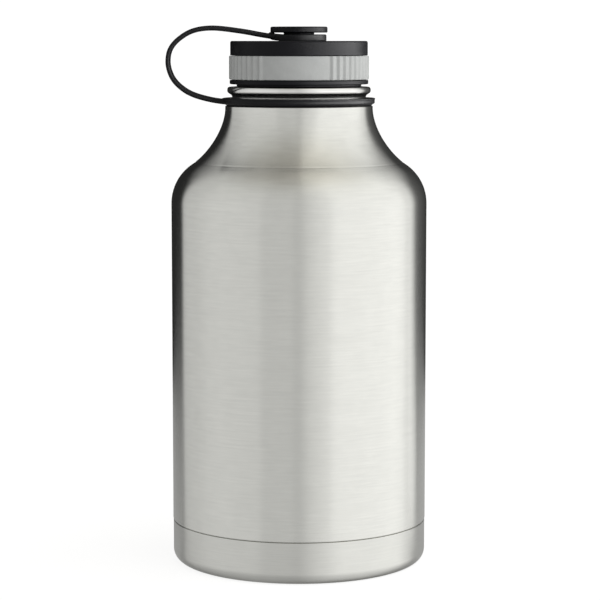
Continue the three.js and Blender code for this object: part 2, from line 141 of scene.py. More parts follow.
def rounded(corners, closed=True, turn_step=math.radians(15)):
    """An outline through (r, z) or (r, z, fillet radius) corners, with an arc at each filleted one."""
    count = len(corners)
    points = []
    for i, corner in enumerate(corners):
        at = Vector(corner[:2])
        radius = corner[2] if len(corner) > 2 else 0
        if radius <= 0 or (not closed and i in (0, count - 1)):
            points.append(tuple(at))
            continue
        back = Vector(corners[i - 1][:2]) - at
        ahead = Vector(corners[(i + 1) % count][:2]) - at
        half = back.angle(ahead) / 2
        reach = min(radius / math.tan(half), 0.49 * back.length, 0.49 * ahead.length)
        radius = reach * math.tan(half)
        centre = at + (back.normalized() + ahead.normalized()).normalized() * radius / math.sin(half)
        first = at + back.normalized() * reach - centre
        last = at + ahead.normalized() * reach - centre
        start = math.atan2(first.y, first.x)
        turn = math.atan2(first.x * last.y - first.y * last.x, first.dot(last))
        steps = max(2, math.ceil(abs(turn) / turn_step))
        for k in range(steps + 1):
            a = start + turn * k / steps
            points.append((centre.x + radius * math.cos(a), centre.y + radius * math.sin(a)))
    return points


def with_rows(corners, r):
    """A closed outline with close, even rows of points added along its upright wall at radius r."""
    points = []
    for at, following in zip(corners, corners[1:] + corners[:1]):
        points.append(at)
        height = abs(following[1] - at[1])
        if height > 0 and abs(at[0] - r) < SAME and abs(following[0] - r) < SAME:
            count = max(2, round(height / ROW_STEP))
            points.extend((r, z) for z in np.linspace(at[1], following[1], count + 1)[1:-1])
    return points


def directions(p):
    """Unit vectors along a polyline, at each of its points."""
    along = np.gradient(p, axis=0)
    return along / np.linalg.norm(along, axis=1)[:, None]


def lengths(p):
    """The length run along a polyline, at each of its points."""
    return np.r_[0, np.cumsum(np.linalg.norm(np.diff(p, axis=0), axis=1))]


def offset(points, distance):
    """A polyline moved to its left by the distance, one for all points or one for each."""
    p = np.array(points)
    along = directions(p)
    left = np.column_stack((-along[:, 1], along[:, 0]))
    return [tuple(q) for q in p + np.reshape(distance, (-1, 1)) * left]


def make_object(name, vertices, faces, material, weighted=True):
    """A smooth-shaded mesh object. Weighted normals keep its flat faces flat beside round edges."""
    mesh = bpy.data.meshes.new(name)
    mesh.from_pydata([tuple(v) for v in vertices], [], faces)
    mesh.polygons.foreach_set("use_smooth", [True] * len(mesh.polygons))
    mesh.materials.append(material)
    mesh.update()
    obj = bpy.data.objects.new(name, mesh)
    bpy.context.scene.collection.objects.link(obj)
    if weighted:
        modifier = obj.modifiers.new("weighted_normals", "WEIGHTED_NORMAL")
        modifier.mode = "FACE_AREA"
        modifier.weight = 50
    return obj


def turned(name, outline, material, sides=SIDES, warp=None, weighted=True):
    """A body of revolution about Z. The outline runs anticlockwise in (r, z). It starts and ends on
    the axis, or is closed. warp(angles, r, z) gives the radius of a row's vertices."""
    on_axis = outline[0][0] < ON_AXIS and outline[-1][0] < ON_AXIS
    angles = np.arange(sides) * 2 * math.pi / sides
    vertices = []
    starts = []
    for r, z in outline:
        starts.append(len(vertices))
        if r < ON_AXIS:
            vertices.append((0.0, 0.0, z))
            continue
        radii = np.full(sides, r) if warp is None else warp(angles, r, z)
        ring = np.column_stack((radii * np.cos(angles), radii * np.sin(angles), np.full(sides, z)))
        vertices.extend(map(tuple, ring))
    faces = []
    pairs = list(zip(range(len(outline) - 1), range(1, len(outline))))
    if not on_axis:
        pairs.append((len(outline) - 1, 0))
    for low, high in pairs:
        a, b = starts[low], starts[high]
        for k in range(sides):
            n = (k + 1) % sides
            if outline[low][0] < ON_AXIS:
                faces.append((a, b + n, b + k))
            elif outline[high][0] < ON_AXIS:
                faces.append((a + k, a + n, b))
            else:
                faces.append((a + k, a + n, b + n, b + k))
    return make_object(name, vertices, faces, material, weighted)


def place(obj, body, slot_name, *nodes):
    """Rides the piece on its body and lets it stand for its CAD nodes."""
    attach(obj, body)
    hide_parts(*nodes)


# ------------------------------------------------------------------ materials


class Nodes:
    """A short way to build a material's nodes."""

    def __init__(self, name):
        self.material = bpy.data.materials.new(name)
        self.material.use_nodes = True
        self.tree = self.material.node_tree
        self.shader = self.tree.nodes["Principled BSDF"]

    def add(self, kind, **settings):
        node = self.tree.nodes.new(kind)
        for key, value in settings.items():
            setattr(node, key, value)
        return node

    def set(self, socket, value):
        """A value, a node's first output or a socket, into an input."""
        if isinstance(value, bpy.types.Node):
            value = value.outputs[0]
        if isinstance(value, bpy.types.NodeSocket):
            self.tree.links.new(value, socket)
        else:
            socket.default_value = value

    def math(self, operation, *values):
        node = self.add("ShaderNodeMath", operation=operation)
        for socket, value in zip(node.inputs, values):
            self.set(socket, value)
        return node.outputs[0]

    def total(self, *terms):
        """The sum of (value, weight) terms."""
        products = [self.math("MULTIPLY", value, weight) for value, weight in terms]
        result = products[0]
        for product in products[1:]:
            result = self.math("ADD", result, product)
        return result

    def noise(self, vector, scale, detail, rough=0.55):
        node = self.add("ShaderNodeTexNoise")
        self.set(node.inputs["Vector"], vector)
        node.inputs["Scale"].default_value = scale
        node.inputs["Detail"].default_value = detail
        node.inputs["Roughness"].default_value = rough
        return node.outputs["Fac"]

    def map_range(self, value, low, high, to_low, to_high):
        node = self.add("ShaderNodeMapRange")
        for socket, item in zip(node.inputs, (value, low, high, to_low, to_high)):
            self.set(socket, item)
        return node.outputs[0]

    def mix(self, factor, first, second):
        node = self.add("ShaderNodeMix", data_type="RGBA")
        self.set(node.inputs[0], factor)
        self.set(node.inputs[6], first)
        self.set(node.inputs[7], second)
        return node.outputs[2]

    def bump(self, height, distance, strength):
        node = self.add("ShaderNodeBump")
        node.inputs["Strength"].default_value = strength
        node.inputs["Distance"].default_value = distance
        self.set(node.inputs["Height"], height)
        return node.outputs[0]

    def position(self):
        return self.add("ShaderNodeTexCoord").outputs["Object"]

    def round_position(self, around, along):
        """Coordinates that are stretched round the Z axis: streaks follow the turning marks."""
        split = self.add("ShaderNodeSeparateXYZ")
        self.set(split.inputs[0], self.position())
        flat = self.add("ShaderNodeCombineXYZ")
        self.set(flat.inputs[0], split.outputs[0])
        self.set(flat.inputs[1], split.outputs[1])
        unit = self.add("ShaderNodeVectorMath", operation="NORMALIZE")
        self.set(unit.inputs[0], flat.outputs[0])
        length = self.add("ShaderNodeVectorMath", operation="LENGTH")
        self.set(length.inputs[0], flat.outputs[0])
        direction = self.add("ShaderNodeSeparateXYZ")
        self.set(direction.inputs[0], unit.outputs[0])
        fine = self.math("ADD", split.outputs[2], length.outputs["Value"])
        joined = self.add("ShaderNodeCombineXYZ")
        self.set(joined.inputs[0], self.math("MULTIPLY", direction.outputs[0], around))
        self.set(joined.inputs[1], self.math("MULTIPLY", direction.outputs[1], around))
        self.set(joined.inputs[2], self.math("MULTIPLY", fine, along))
        return joined.outputs[0]


# Noise scales of the turning marks on steel, round the axis and along it.
FINE_MARKS = (3.0, 2600.0)
COARSE_MARKS = (5.0, 900.0)
SOFT_BANDS = (1.2, 160.0)
STEEL_PATCHES = 130.0
STEEL_CLOUDS = 22.0
STEEL_DARKER = 0.93  # the range of its base colour, round the one given
STEEL_LIGHTER = 1.065
TONE_RANGE = (0.3, 0.7)  # of the mixed noises, from the darker colour to the lighter
GRAIN_ROUGHNESS = 0.06
CLOUD_ROUGHNESS = 0.02
SMOOTHEST_BELOW = 0.055  # how far below the given roughness the smoothest spots are
STEEL_GRAIN_DEPTH = 0.00002
STEEL_GRAIN_STRENGTH = 0.35
QUARTER_TURN = 0.25  # lays the stretched highlight across the turning marks
# Noise scales of a moulded skin.
COARSE_GRAIN = 850.0
MOTTLES = 260.0
RUBBED_PATCHES = 45.0
RUBBED_RANGE = (0.42, 0.68)  # of the noise, from a fresh skin to a rubbed one
RUBBED_ROUGHNESS = -0.09
SPARK_ROUGHNESS = 0.08
SPARK_STRENGTH = 0.6


def brushed_steel(name, color, roughness, anisotropy, grain=1.0):
    """Turned and brushed stainless steel: fine circular marks, soft bands and faint patches."""
    n = Nodes(name)
    fine = n.noise(n.round_position(*FINE_MARKS), 1.0, 2.0)
    marks = n.noise(n.round_position(*COARSE_MARKS), 1.0, 2.0)
    bands = n.noise(n.round_position(*SOFT_BANDS), 1.0, 3.0)
    cloud = n.noise(n.position(), STEEL_CLOUDS, 3.0)
    patches = n.noise(n.position(), STEEL_PATCHES, 4.0)
    darker = tuple(c * STEEL_DARKER for c in color)
    lighter = tuple(min(1.0, c * STEEL_LIGHTER) for c in color)
    tone = n.total((fine, 0.4), (marks, 0.25), (bands, 0.12), (patches, 0.23))
    base = n.mix(n.map_range(tone, *TONE_RANGE, 0.0, 1.0), (*darker, 1), (*lighter, 1))
    n.set(n.shader.inputs["Base Color"], base)
    rough = n.total((fine, GRAIN_ROUGHNESS * grain), (cloud, CLOUD_ROUGHNESS))
    n.set(n.shader.inputs["Roughness"], n.math("ADD", rough, roughness - SMOOTHEST_BELOW))
    n.set(n.shader.inputs["Normal"], n.bump(fine, STEEL_GRAIN_DEPTH * grain, STEEL_GRAIN_STRENGTH))
    n.shader.inputs["Metallic"].default_value = 1.0
    n.shader.inputs["Anisotropic"].default_value = anisotropy
    n.shader.inputs["Anisotropic Rotation"].default_value = QUARTER_TURN
    tangent = n.add("ShaderNodeTangent", direction_type="RADIAL", axis="Z")
    n.set(n.shader.inputs["Tangent"], tangent)
    return n.material


def moulded(name, color, roughness, grain_scale, grain_depth, specular=0.5, mottling=0.25):
    """Moulded plastic or rubber: a fine spark-eroded grain, slight mottling and rubbed patches."""
    n = Nodes(name)
    fine = n.noise(n.position(), grain_scale, 2.0, 0.6)
    coarse = n.noise(n.position(), COARSE_GRAIN, 2.0, 0.6)
    grain = n.math("MULTIPLY", n.math("ADD", fine, coarse), 0.5)
    mottle = n.noise(n.position(), MOTTLES, 4.0)
    rubbed = n.map_range(n.noise(n.position(), RUBBED_PATCHES, 3.0), *RUBBED_RANGE, 0.0, 1.0)
    lighter = tuple(min(1.0, c * (1 + mottling)) for c in color)
    darker = tuple(c * (1 - mottling * 0.6) for c in color)
    n.set(n.shader.inputs["Base Color"], n.mix(mottle, (*darker, 1), (*lighter, 1)))
    spread = n.total((rubbed, RUBBED_ROUGHNESS), (grain, SPARK_ROUGHNESS))
    n.set(n.shader.inputs["Roughness"], n.math("ADD", spread, roughness))
    n.set(n.shader.inputs["Normal"], n.bump(grain, grain_depth, SPARK_STRENGTH))
    n.shader.inputs["Specular IOR Level"].default_value = specular
    return n.material


# Name, colour, roughness, then anisotropy and grain.
STEEL = brushed_steel("brushed_steel", (0.80, 0.80, 0.757), 0.25, 1.0)
STEEL_BASE = brushed_steel("base_steel", (0.775, 0.775, 0.733), 0.32, 0.9)
STEEL_BEAD = brushed_steel("polished_bead_steel", (0.88, 0.88, 0.85), 0.22, 0.6, 0.6)
STEEL_LINER = brushed_steel("liner_steel", (0.68, 0.675, 0.66), 0.38, 0.5)
STEEL_SCREW = brushed_steel("screw_steel", (0.6, 0.6, 0.59), 0.3, 0.3)
FOIL = brushed_steel("copper_foil", (0.78, 0.45, 0.28), 0.3, 0.2, 2.0)
# Name, colour, roughness, then the grain's noise scale and depth, specular level and mottling.
GETTER = moulded("getter_metal", (0.28, 0.28, 0.29), 0.6, 2500.0, 0.0001)
BLACK = moulded("black_plastic", (0.003, 0.003, 0.004), 0.37, 5200.0, 0.0002, 0.13)
SILICONE = moulded("black_silicone", (0.0035, 0.0035, 0.004), 0.44, 4200.0, 0.0001, 0.13)
GREY = moulded("grey_grip", (0.262, 0.268, 0.263), 0.55, 3600.0, 0.0002, 0.4, 0.12)
SEAL = moulded("seal_silicone", (0.72, 0.71, 0.68), 0.5, 3200.0, 0.00004, 0.5, 0.04)
FOAM = moulded("foam", (0.84, 0.79, 0.64), 0.9, 900.0, 0.0004, 0.2, 0.08)
SOLDER = moulded("solder_glass", (0.5, 0.46, 0.38), 0.35, 700.0, 0.0001)

# ------------------------------------------------------------------ bottle


def vessel_side(r, bottom, shoulder_z, shoulder_r, turn, neck_r, neck_z, pulls):
    """Section of a straight wall, a convex shoulder that turns through the given degrees, and a
    waist up to the neck. The pulls say how far the waist keeps to its two ends' directions."""
    shoulder = arc(r - shoulder_r, shoulder_z, shoulder_r, 0, turn, 40)
    end = shoulder[-1]
    a = math.radians(turn)
    first = (end[0] - pulls[0] * math.sin(a), end[1] + pulls[0] * math.cos(a))
    waist = bezier(end, first, (neck_r, neck_z - pulls[1]), (neck_r, neck_z), 60)
    wall = [(r, z) for z in np.linspace(bottom, shoulder_z, 24)[:-1]]
    return wall + shoulder + waist[1:]


def with_forming_line(side, z, width=1.8 * MM, depth=0.1 * MM):
    """The faint groove that the forming roller leaves round the shoulder, at the given height."""
    p = np.array(side)
    length = lengths(p)
    middle = np.interp(z, p[:, 1], length)
    fine = np.linspace(middle - width, middle + width, 15)
    at = np.union1d(length[np.abs(length - middle) > width], fine)
    p = np.column_stack([np.interp(at, length, p[:, i]) for i in (0, 1)])
    away = np.abs(at - middle) / (width / 2)
    dip = depth * np.where(away < 1, np.cos(0.5 * math.pi * away) ** 2, 0)
    return offset(p, dip)


SEAM_ROUND = 0.6 * MM  # of the edges on both sides of the seam above the base cup
SEAM_RISE = 0.16 * MM  # how far the base cup reaches up into the seam's play


def shell():
    shoulder_z = 177.08 * MM
    shoulder_r = 22.6 * MM
    shoulder_turn = 55.8
    waist_pulls = (11.0 * MM, 9.5 * MM)
    forming_z = 197.0 * MM
    neck_z = LEDGE_Z - 0.8 * MM
    side = vessel_side(BODY_R, SHELL_Z + SEAM_ROUND, shoulder_z, shoulder_r, shoulder_turn,
                       NECK_R, neck_z, waist_pulls)
    side = with_forming_line(side, forming_z)
    hole = GROOVE_R + FIT
    lip = rounded([
        (NECK_R, neck_z),
        (NECK_R, LEDGE_Z, 0.7 * MM),
        (hole, LEDGE_Z, 0.2 * MM),
        (hole, LEDGE_Z - SHELL_T, 0.2 * MM),
        (NECK_R - SHELL_T, LEDGE_Z - SHELL_T),
    ], closed=False)
    inside = offset(side, SHELL_T)[::-1]
    edge = arc(BODY_R - SEAM_ROUND, SHELL_Z + SEAM_ROUND, SEAM_ROUND, -85, -10, 7)
    foot = [(BODY_R - SHELL_T, SHELL_Z)] + edge
    obj = turned("steel_shell", side + lip[1:] + inside[1:] + foot, STEEL)
    place(obj, "bottle", "shell_steel", "outer_shell")


def base():
    foot = 5.8 * MM
    inner = BASE_R - SHELL_T
    seam_z = BASE_TOP_Z + SEAM_RISE
    recess = DISC_Z + SHELL_T
    pocket_r = DISC_R + FIT
    pocket_z = 5.6 * MM
    hole = 1.0 * MM
    ring_in = 50.4 * MM  # inner edge of the flat ring it stands on
    outline = rounded([
        (hole, pocket_z, 0.1 * MM),
        (pocket_r, pocket_z, 0.3 * MM),
        (pocket_r, DISC_Z, 0.4 * MM),
        (ring_in - 3.0 * MM, DISC_Z, 1.5 * MM),
        (ring_in, 0.0, 1.2 * MM),
        (BASE_R, 0.0, foot),
        (BASE_R, seam_z, SEAM_ROUND),
        (inner, seam_z, 0.15 * MM),
        (inner, SHELL_T, foot - SHELL_T),
        (ring_in + 0.2 * MM, SHELL_T, 0.6 * MM),
        (ring_in - 2.6 * MM, recess, 0.8 * MM),
        (pocket_r + SHELL_T, recess, 0.4 * MM),
        (pocket_r + SHELL_T, pocket_z + SHELL_T, 0.4 * MM),
        (hole, pocket_z + SHELL_T, 0.1 * MM),
    ], turn_step=math.radians(9))
    place(turned("steel_base_cup", outline, STEEL_BASE), "bottle", "shell_steel", "base_cup")
    top = node_high("base_cover_disc").z
    disc = rounded([
        (0, DISC_Z + 0.25 * MM),
        (DISC_R * 0.42, DISC_Z + 0.2 * MM, 4 * MM),
        (DISC_R * 0.5, DISC_Z, 2 * MM),
        (DISC_R, DISC_Z, 0.25 * MM),
        (DISC_R, top, 0.15 * MM),
        (0, top),
    ], closed=False)
    obj = turned("steel_base_disc", disc, STEEL_BASE, SIDES_SMALL)
    place(obj, "bottle", "shell_steel", "base_cover_disc")


def liner():
    shoulder_z = 174 * MM
    shoulder_r = 20 * MM
    shoulder_turn = 50
    neck_r = 26.6 * MM
    neck_z = 214 * MM
    waist_pulls = (12 * MM, 10 * MM)
    side = vessel_side(LINER_R, LINER_Z, shoulder_z, shoulder_r, shoulder_turn,
                       neck_r, neck_z, waist_pulls)
    wall = side + [(neck_r, RIM_Z - 0.25 * MM)]
    inside = offset(wall, LINER_T)[::-1]
    rim = arc(neck_r - LINER_T / 2, RIM_Z - LINER_T / 2, LINER_T / 2, 20, 160, 6)
    obj = turned("steel_liner", wall + rim + inside, STEEL_LINER)
    place(obj, "bottle", "liner_steel", "inner_vessel")
    round_r = 5 * MM
    low = node_low("inner_base_dish").z
    top = node_high("inner_base_dish").z
    dish = rounded([
        (0, low + 1.0 * MM),
        (30 * MM, low + 0.6 * MM, 30 * MM),
        (LINER_R - 6 * MM, low, 4 * MM),
        (LINER_R, low, round_r),
        (LINER_R, top),
        (LINER_R - LINER_T, top),
        (LINER_R - LINER_T, low + LINER_T, round_r - LINER_T),
        (LINER_R - 6 * MM, low + LINER_T, 4 * MM),
        (30 * MM, low + 1.2 * MM, 30 * MM),
        (0, low + 1.0 * MM + LINER_T),
    ], closed=False)
    obj = turned("steel_liner_dish", dish, STEEL_LINER)
    place(obj, "bottle", "liner_steel", "inner_base_dish")
    foil_low, foil_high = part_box("reflective_foil")
    foil_r = foil_high.y
    outline = [
        (foil_r, foil_low.z),
        (foil_r, foil_high.z),
        (foil_r - FOIL_T, foil_high.z),
        (foil_r - FOIL_T, foil_low.z),
    ]
    place(turned("foil_sleeve", outline, FOIL), "bottle", "foil_copper", "reflective_foil")


def thread_height(angles, z, z_zero, first_turn, last_turn, base_half, crest_half):
    """How far up its flank each point lies, from 0 at the root to 1 on the crest."""
    run_out = 0.09  # of a turn, at both ends
    height = np.zeros_like(angles)
    pitch_shift = 1 / THREAD_STARTS
    for start in range(THREAD_STARTS):
        for whole in (-2, -1, 0, 1, 2):
            turn = angles / (2 * math.pi) - start * pitch_shift + whole
            away = np.abs(z - (z_zero + THREAD_LEAD * turn))
            flank = np.clip((base_half - away) / (base_half - crest_half), 0, 1)
            ends = np.clip(np.minimum(turn - first_turn, last_turn - turn) / run_out, 0, 1)
            height = np.maximum(height, flank * ends)
    return height * height * (3 - 2 * height)


def neck_ring():
    root = 27.7 * MM
    bore = 26.9 * MM
    foot = 229.6 * MM
    face_low = 231.7 * MM
    face_high = 232.7 * MM
    bead_top = 233.75 * MM
    wall = 1.0 * MM
    base_half = 0.95 * MM
    crest_half = 0.5 * MM

    def warp(angles, r, z):
        if abs(r - root) > SAME or z < bead_top:
            return np.full_like(angles, r)
        return r + CREST_RISE * thread_height(angles, z, THREAD_Z, 0, 1, base_half, crest_half)

    corners = rounded([
        (GROOVE_R, RING_Z),
        (GROOVE_R, foot, 1.6 * MM),
        (BEAD_R - 0.35 * MM, face_low - 0.75 * MM, 0.7 * MM),
        (BEAD_R, face_low, 1.2 * MM),
        (BEAD_R, face_high, 1.2 * MM),
        (BEAD_R - 0.5 * MM, bead_top, 0.9 * MM),
        (root, bead_top, 0.3 * MM),
        (root, RIM_Z, 0.4 * MM),
        (bore, RIM_Z, 0.15 * MM),
        (bore, bead_top - wall, 0.3 * MM),
        (GROOVE_R - wall, foot + 0.3 * MM, 0.5 * MM),
        (GROOVE_R - wall, RING_Z),
    ], turn_step=math.radians(9))
    outline = with_rows(corners, root)
    obj = turned("steel_neck_ring", outline, STEEL_BEAD, warp=warp, weighted=False)
    place(obj, "bottle", "shell_steel", "neck_ring")


shell()
base()
liner()
neck_ring()

# ------------------------------------------------------------------ cap


def cap_body():
    skirt_r = 30.4 * MM
    root = 29.3 * MM
    flange_low = 235.1 * MM
    flange_high = BAND_LOW_Z - FIT
    plate_r = COVER_R - 2.0 * MM
    plate_low = 252.0 * MM
    plate_hole = 10 * MM
    z_zero = THREAD_Z + THREAD_LEAD / THREAD_STARTS / 2  # halfway between the neck's crests
    turns = (-0.3, 0.8)
    base_half = 0.85 * MM
    crest_half = 0.45 * MM

    def warp(angles, r, z):
        if abs(r - root) > SAME:
            return np.full_like(angles, r)
        return r - CREST_RISE * thread_height(angles, z, z_zero, *turns, base_half, crest_half)

    corners = rounded([
        (skirt_r, SKIRT_Z, 0.3 * MM),
        (skirt_r, flange_low, 0.2 * MM),
        (FLANGE_R, flange_low, 0.45 * MM),
        (FLANGE_R, flange_high, 0.3 * MM),
        (skirt_r, flange_high, 0.1 * MM),
        (skirt_r, COVER_LOW_Z, 0.1 * MM),
        (plate_r, COVER_LOW_Z, 0.3 * MM),
        (plate_r, PLATE_Z, 0.5 * MM),
        (plate_hole, PLATE_Z, 0.3 * MM),
        (plate_hole, plate_low, 0.3 * MM),
        (root, plate_low, 0.2 * MM),
        (root, SKIRT_Z, 0.3 * MM),
    ], turn_step=math.radians(12))
    outline = with_rows(corners, root)
    obj = turned("cap_body", outline, BLACK, warp=warp, weighted=False)
    place(obj, "cap", "black_plastic", "cap_inner_body")


PANELS = 3
PANEL_MIDDLE = -92.3  # bearing of the first panel's middle from +X, in degrees
FIRST_RIB = 31.15  # from a panel's middle to the nearest rib
RIBS = 10  # in each zone
RIB_HALF = 3.1  # half of a rib's width at its foot, in degrees
RIB_RISE = 0.85 * MM


def rib_height(angles):
    """1 along the crest of a rib, 0 on a smooth panel, round in between."""
    share = 360 / PANELS
    pitch = (share - 2 * FIRST_RIB) / (RIBS - 1)
    along = (np.degrees(angles) - PANEL_MIDDLE - FIRST_RIB) % share
    nearest = np.clip(np.round(along / pitch), 0, RIBS - 1)
    away = np.abs(along - nearest * pitch)
    away = np.minimum(away, np.abs(share - along))
    return np.where(away < RIB_HALF, np.cos(0.5 * math.pi * away / RIB_HALF) ** 2, 0)


def grip_band():
    inner = 30.7 * MM
    top_z = BAND_HIGH_Z + 0.15 * MM  # closes half of the play below the cover

    def warp(angles, r, z):
        if r < BAND_R - 1.5 * MM:
            return np.full_like(angles, r)
        return r - RIB_RISE * (1 - rib_height(angles))

    outline = rounded([
        (BAND_R, BAND_LOW_Z, 0.5 * MM),
        (BAND_R, top_z, 0.45 * MM),
        (inner, top_z, 0.2 * MM),
        (inner, BAND_LOW_Z, 0.2 * MM),
    ])
    obj = turned("grip_sleeve", outline, GREY, SIDES_RIBBED, warp, weighted=False)
    place(obj, "cap", "grey_grip", "grip_band")


def cap_cover():
    wall = 1.6 * MM
    screw_hole = 2.4 * MM
    outline = rounded([
        (COVER_R, COVER_LOW_Z, 0.3 * MM),
        (COVER_R, COVER_HIGH_Z, 0.9 * MM),
        (screw_hole, COVER_HIGH_Z, 0.2 * MM),
        (screw_hole, COVER_HIGH_Z - wall, 0.2 * MM),
        (COVER_R - wall, COVER_HIGH_Z - wall, 0.3 * MM),
        (COVER_R - wall, COVER_LOW_Z, 0.2 * MM),
    ], turn_step=math.radians(12))
    obj = turned("cap_cover", outline, BLACK)
    place(obj, "cap", "black_plastic", "cap_top_cover")


def cap_seal_and_plug():
    low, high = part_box("cap_gasket")
    inner = PLUG_R + FIT
    outline = rounded([
        (inner, low.z, 0.3 * MM),
        (GASKET_R, low.z, 0.5 * MM),
        (GASKET_R, high.z, 0.3 * MM),
        (inner, high.z, 0.3 * MM),
    ])
    place(turned("gasket", outline, SEAL, SIDES_SMALL), "cap", "seal_silicone", "cap_gasket")
    low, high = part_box("cap_plug_cup")
    wall = 1.4 * MM
    outline = rounded([
        (0, low.z + 0.5 * MM),
        (PLUG_R * 0.72, low.z + 0.5 * MM, 1 * MM),
        (PLUG_R * 0.76, low.z, 1 * MM),
        (PLUG_R, low.z, 3 * MM),
        (PLUG_R, high.z, 0.3 * MM),
        (PLUG_R - wall, high.z, 0.2 * MM),
        (PLUG_R - wall, low.z + wall, 1.8 * MM),
        (0, low.z + wall),
    ], closed=False, turn_step=math.radians(10))
    obj = turned("plug_cup", outline, BLACK, SIDES_SMALL)
    place(obj, "cap", "black_plastic", "cap_plug_cup")


def button():
    head_low = 260.0 * MM
    post_r = 7.4 * MM
    hole = 2.2 * MM
    hole_top = HEAD_HIGH_Z - 1.5 * MM
    dished_z = HEAD_HIGH_Z - 0.28 * MM
    outline = rounded([
        (0, hole_top),
        (hole, hole_top, 0.2 * MM),
        (hole, POST_LOW_Z, 0.2 * MM),
        (post_r, POST_LOW_Z, 0.2 * MM),
        (post_r, head_low, 0.5 * MM),
        (HEAD_R, head_low, 0.5 * MM),
        (HEAD_R, HEAD_HIGH_Z, 0.75 * MM),
        (HEAD_R - 1.9 * MM, HEAD_HIGH_Z - 0.02 * MM, 0.6 * MM),
        (HEAD_R - 2.5 * MM, dished_z, 0.6 * MM),
        (0, dished_z),
    ], closed=False, turn_step=math.radians(12))
    obj = turned("button", outline, BLACK, SIDES_SMALL)
    place(obj, "cap", "black_plastic", "pivot_button")


cap_body()
grip_band()
cap_cover()
cap_seal_and_plug()
button()

# ------------------------------------------------------------------ tether

STRAP_T = 2.6 * MM
STRAP_W = 10.0 * MM
ROOT_EXTRA_W = 3.2 * MM  # how much wider the strap is at both roots
ROOT_SHARE = 0.09  # of the strap's length, over which each root widens
BEND_SHARE = 0.45  # where along the strap it bends most
BEND_SPREAD = 0.14
BEND_THINNING = 0.13
SECTION_POWER = 5.0  # of the strap's superelliptic section
# The strap's centreline (x, z) in millimetres, from the collar round the loop to the eyelet.
STRAP_LINE = [
    (-34.9, 226.4), (-38.5, 226.8), (-43.3, 227.6), (-50.0, 229.4), (-55.3, 231.9),
    (-59.9, 235.8), (-62.6, 240.2), (-63.8, 245.8), (-62.7, 251.8), (-58.6, 256.8),
    (-51.5, 260.9), (-41.9, 262.2), (-28.7, 260.8), (-18.5, 259.0), (-10.2, 257.65),
]


def spline(points, count):
    """A Catmull-Rom curve through the points, sampled at an even spacing."""
    p = np.array(points, float)
    p = np.vstack((2 * p[0] - p[1], p, 2 * p[-1] - p[-2]))
    fine = []
    for a, b, c, d in zip(p, p[1:], p[2:], p[3:]):
        t = np.linspace(0, 1, 40, endpoint=False)[:, None]
        fine.append(0.5 * (2 * b + (c - a) * t + (2 * a - 5 * b + 4 * c - d) * t**2
                           + (3 * b - a - 3 * c + d) * t**3))
    fine = np.vstack(fine + [p[-2:-1]])
    length = lengths(fine)
    at = np.linspace(0, length[-1], count)
    return np.column_stack([np.interp(at, length, fine[:, i]) for i in (0, 1)])


def strap_mesh(count=150, around=40):
    """A band of superelliptic section along the centreline, wider at both roots and a little
    thinner where it bends most."""
    line = spline(STRAP_LINE, count) * MM
    share = np.linspace(0, 1, count)
    flare = (np.clip(1 - share / ROOT_SHARE, 0, 1) ** 2
             + np.clip(1 - (1 - share) / ROOT_SHARE, 0, 1) ** 2)
    bend = np.exp(-0.5 * ((share - BEND_SHARE) / BEND_SPREAD) ** 2)
    thickness = STRAP_T * (1 - BEND_THINNING * bend)
    power = 2 / SECTION_POWER
    vertices = []
    for p, t, wide, thick in zip(line, directions(line), flare, thickness):
        normal = np.array((-t[1], t[0]))
        half_w = (STRAP_W + ROOT_EXTRA_W * wide) / 2
        for a in np.arange(around) * 2 * math.pi / around:
            c, s = math.cos(a), math.sin(a)
            across = half_w * math.copysign(abs(c) ** power, c)
            up = thick / 2 * math.copysign(abs(s) ** power, s)
            vertices.append((p[0] + normal[0] * up, across, p[1] + normal[1] * up))
    faces = []
    for i in range(count - 1):
        for k in range(around):
            n = (k + 1) % around
            a, b = i * around, (i + 1) * around
            faces.append((a + k, b + k, b + n, a + n))
    faces.append(tuple(range(around)))
    faces.append(tuple(reversed(range((count - 1) * around, count * around))))
    return vertices, faces


def fuse(name, parts, voxel, smoothing):
    """Joins closed meshes into one skin with soft inside corners, as one moulding has."""
    vertices = []
    faces = []
    for part in parts:
        start = len(vertices)
        vertices.extend(tuple(v.co) for v in part.data.vertices)
        faces.extend(tuple(start + i for i in f.vertices) for f in part.data.polygons)
        bpy.data.objects.remove(part)
    obj = make_object(name, vertices, faces, SILICONE, weighted=False)
    remesh = obj.modifiers.new("remesh", "REMESH")
    remesh.mode = "VOXEL"
    remesh.voxel_size = voxel
    smooth = obj.modifiers.new("smooth", "SMOOTH")
    smooth.factor = 0.5
    smooth.iterations = smoothing
    depsgraph = bpy.context.evaluated_depsgraph_get()
    mesh = bpy.data.meshes.new_from_object(obj.evaluated_get(depsgraph))
    obj.modifiers.clear()
    obj.data = mesh
    mesh.polygons.foreach_set("use_smooth", [True] * len(mesh.polygons))
    return obj


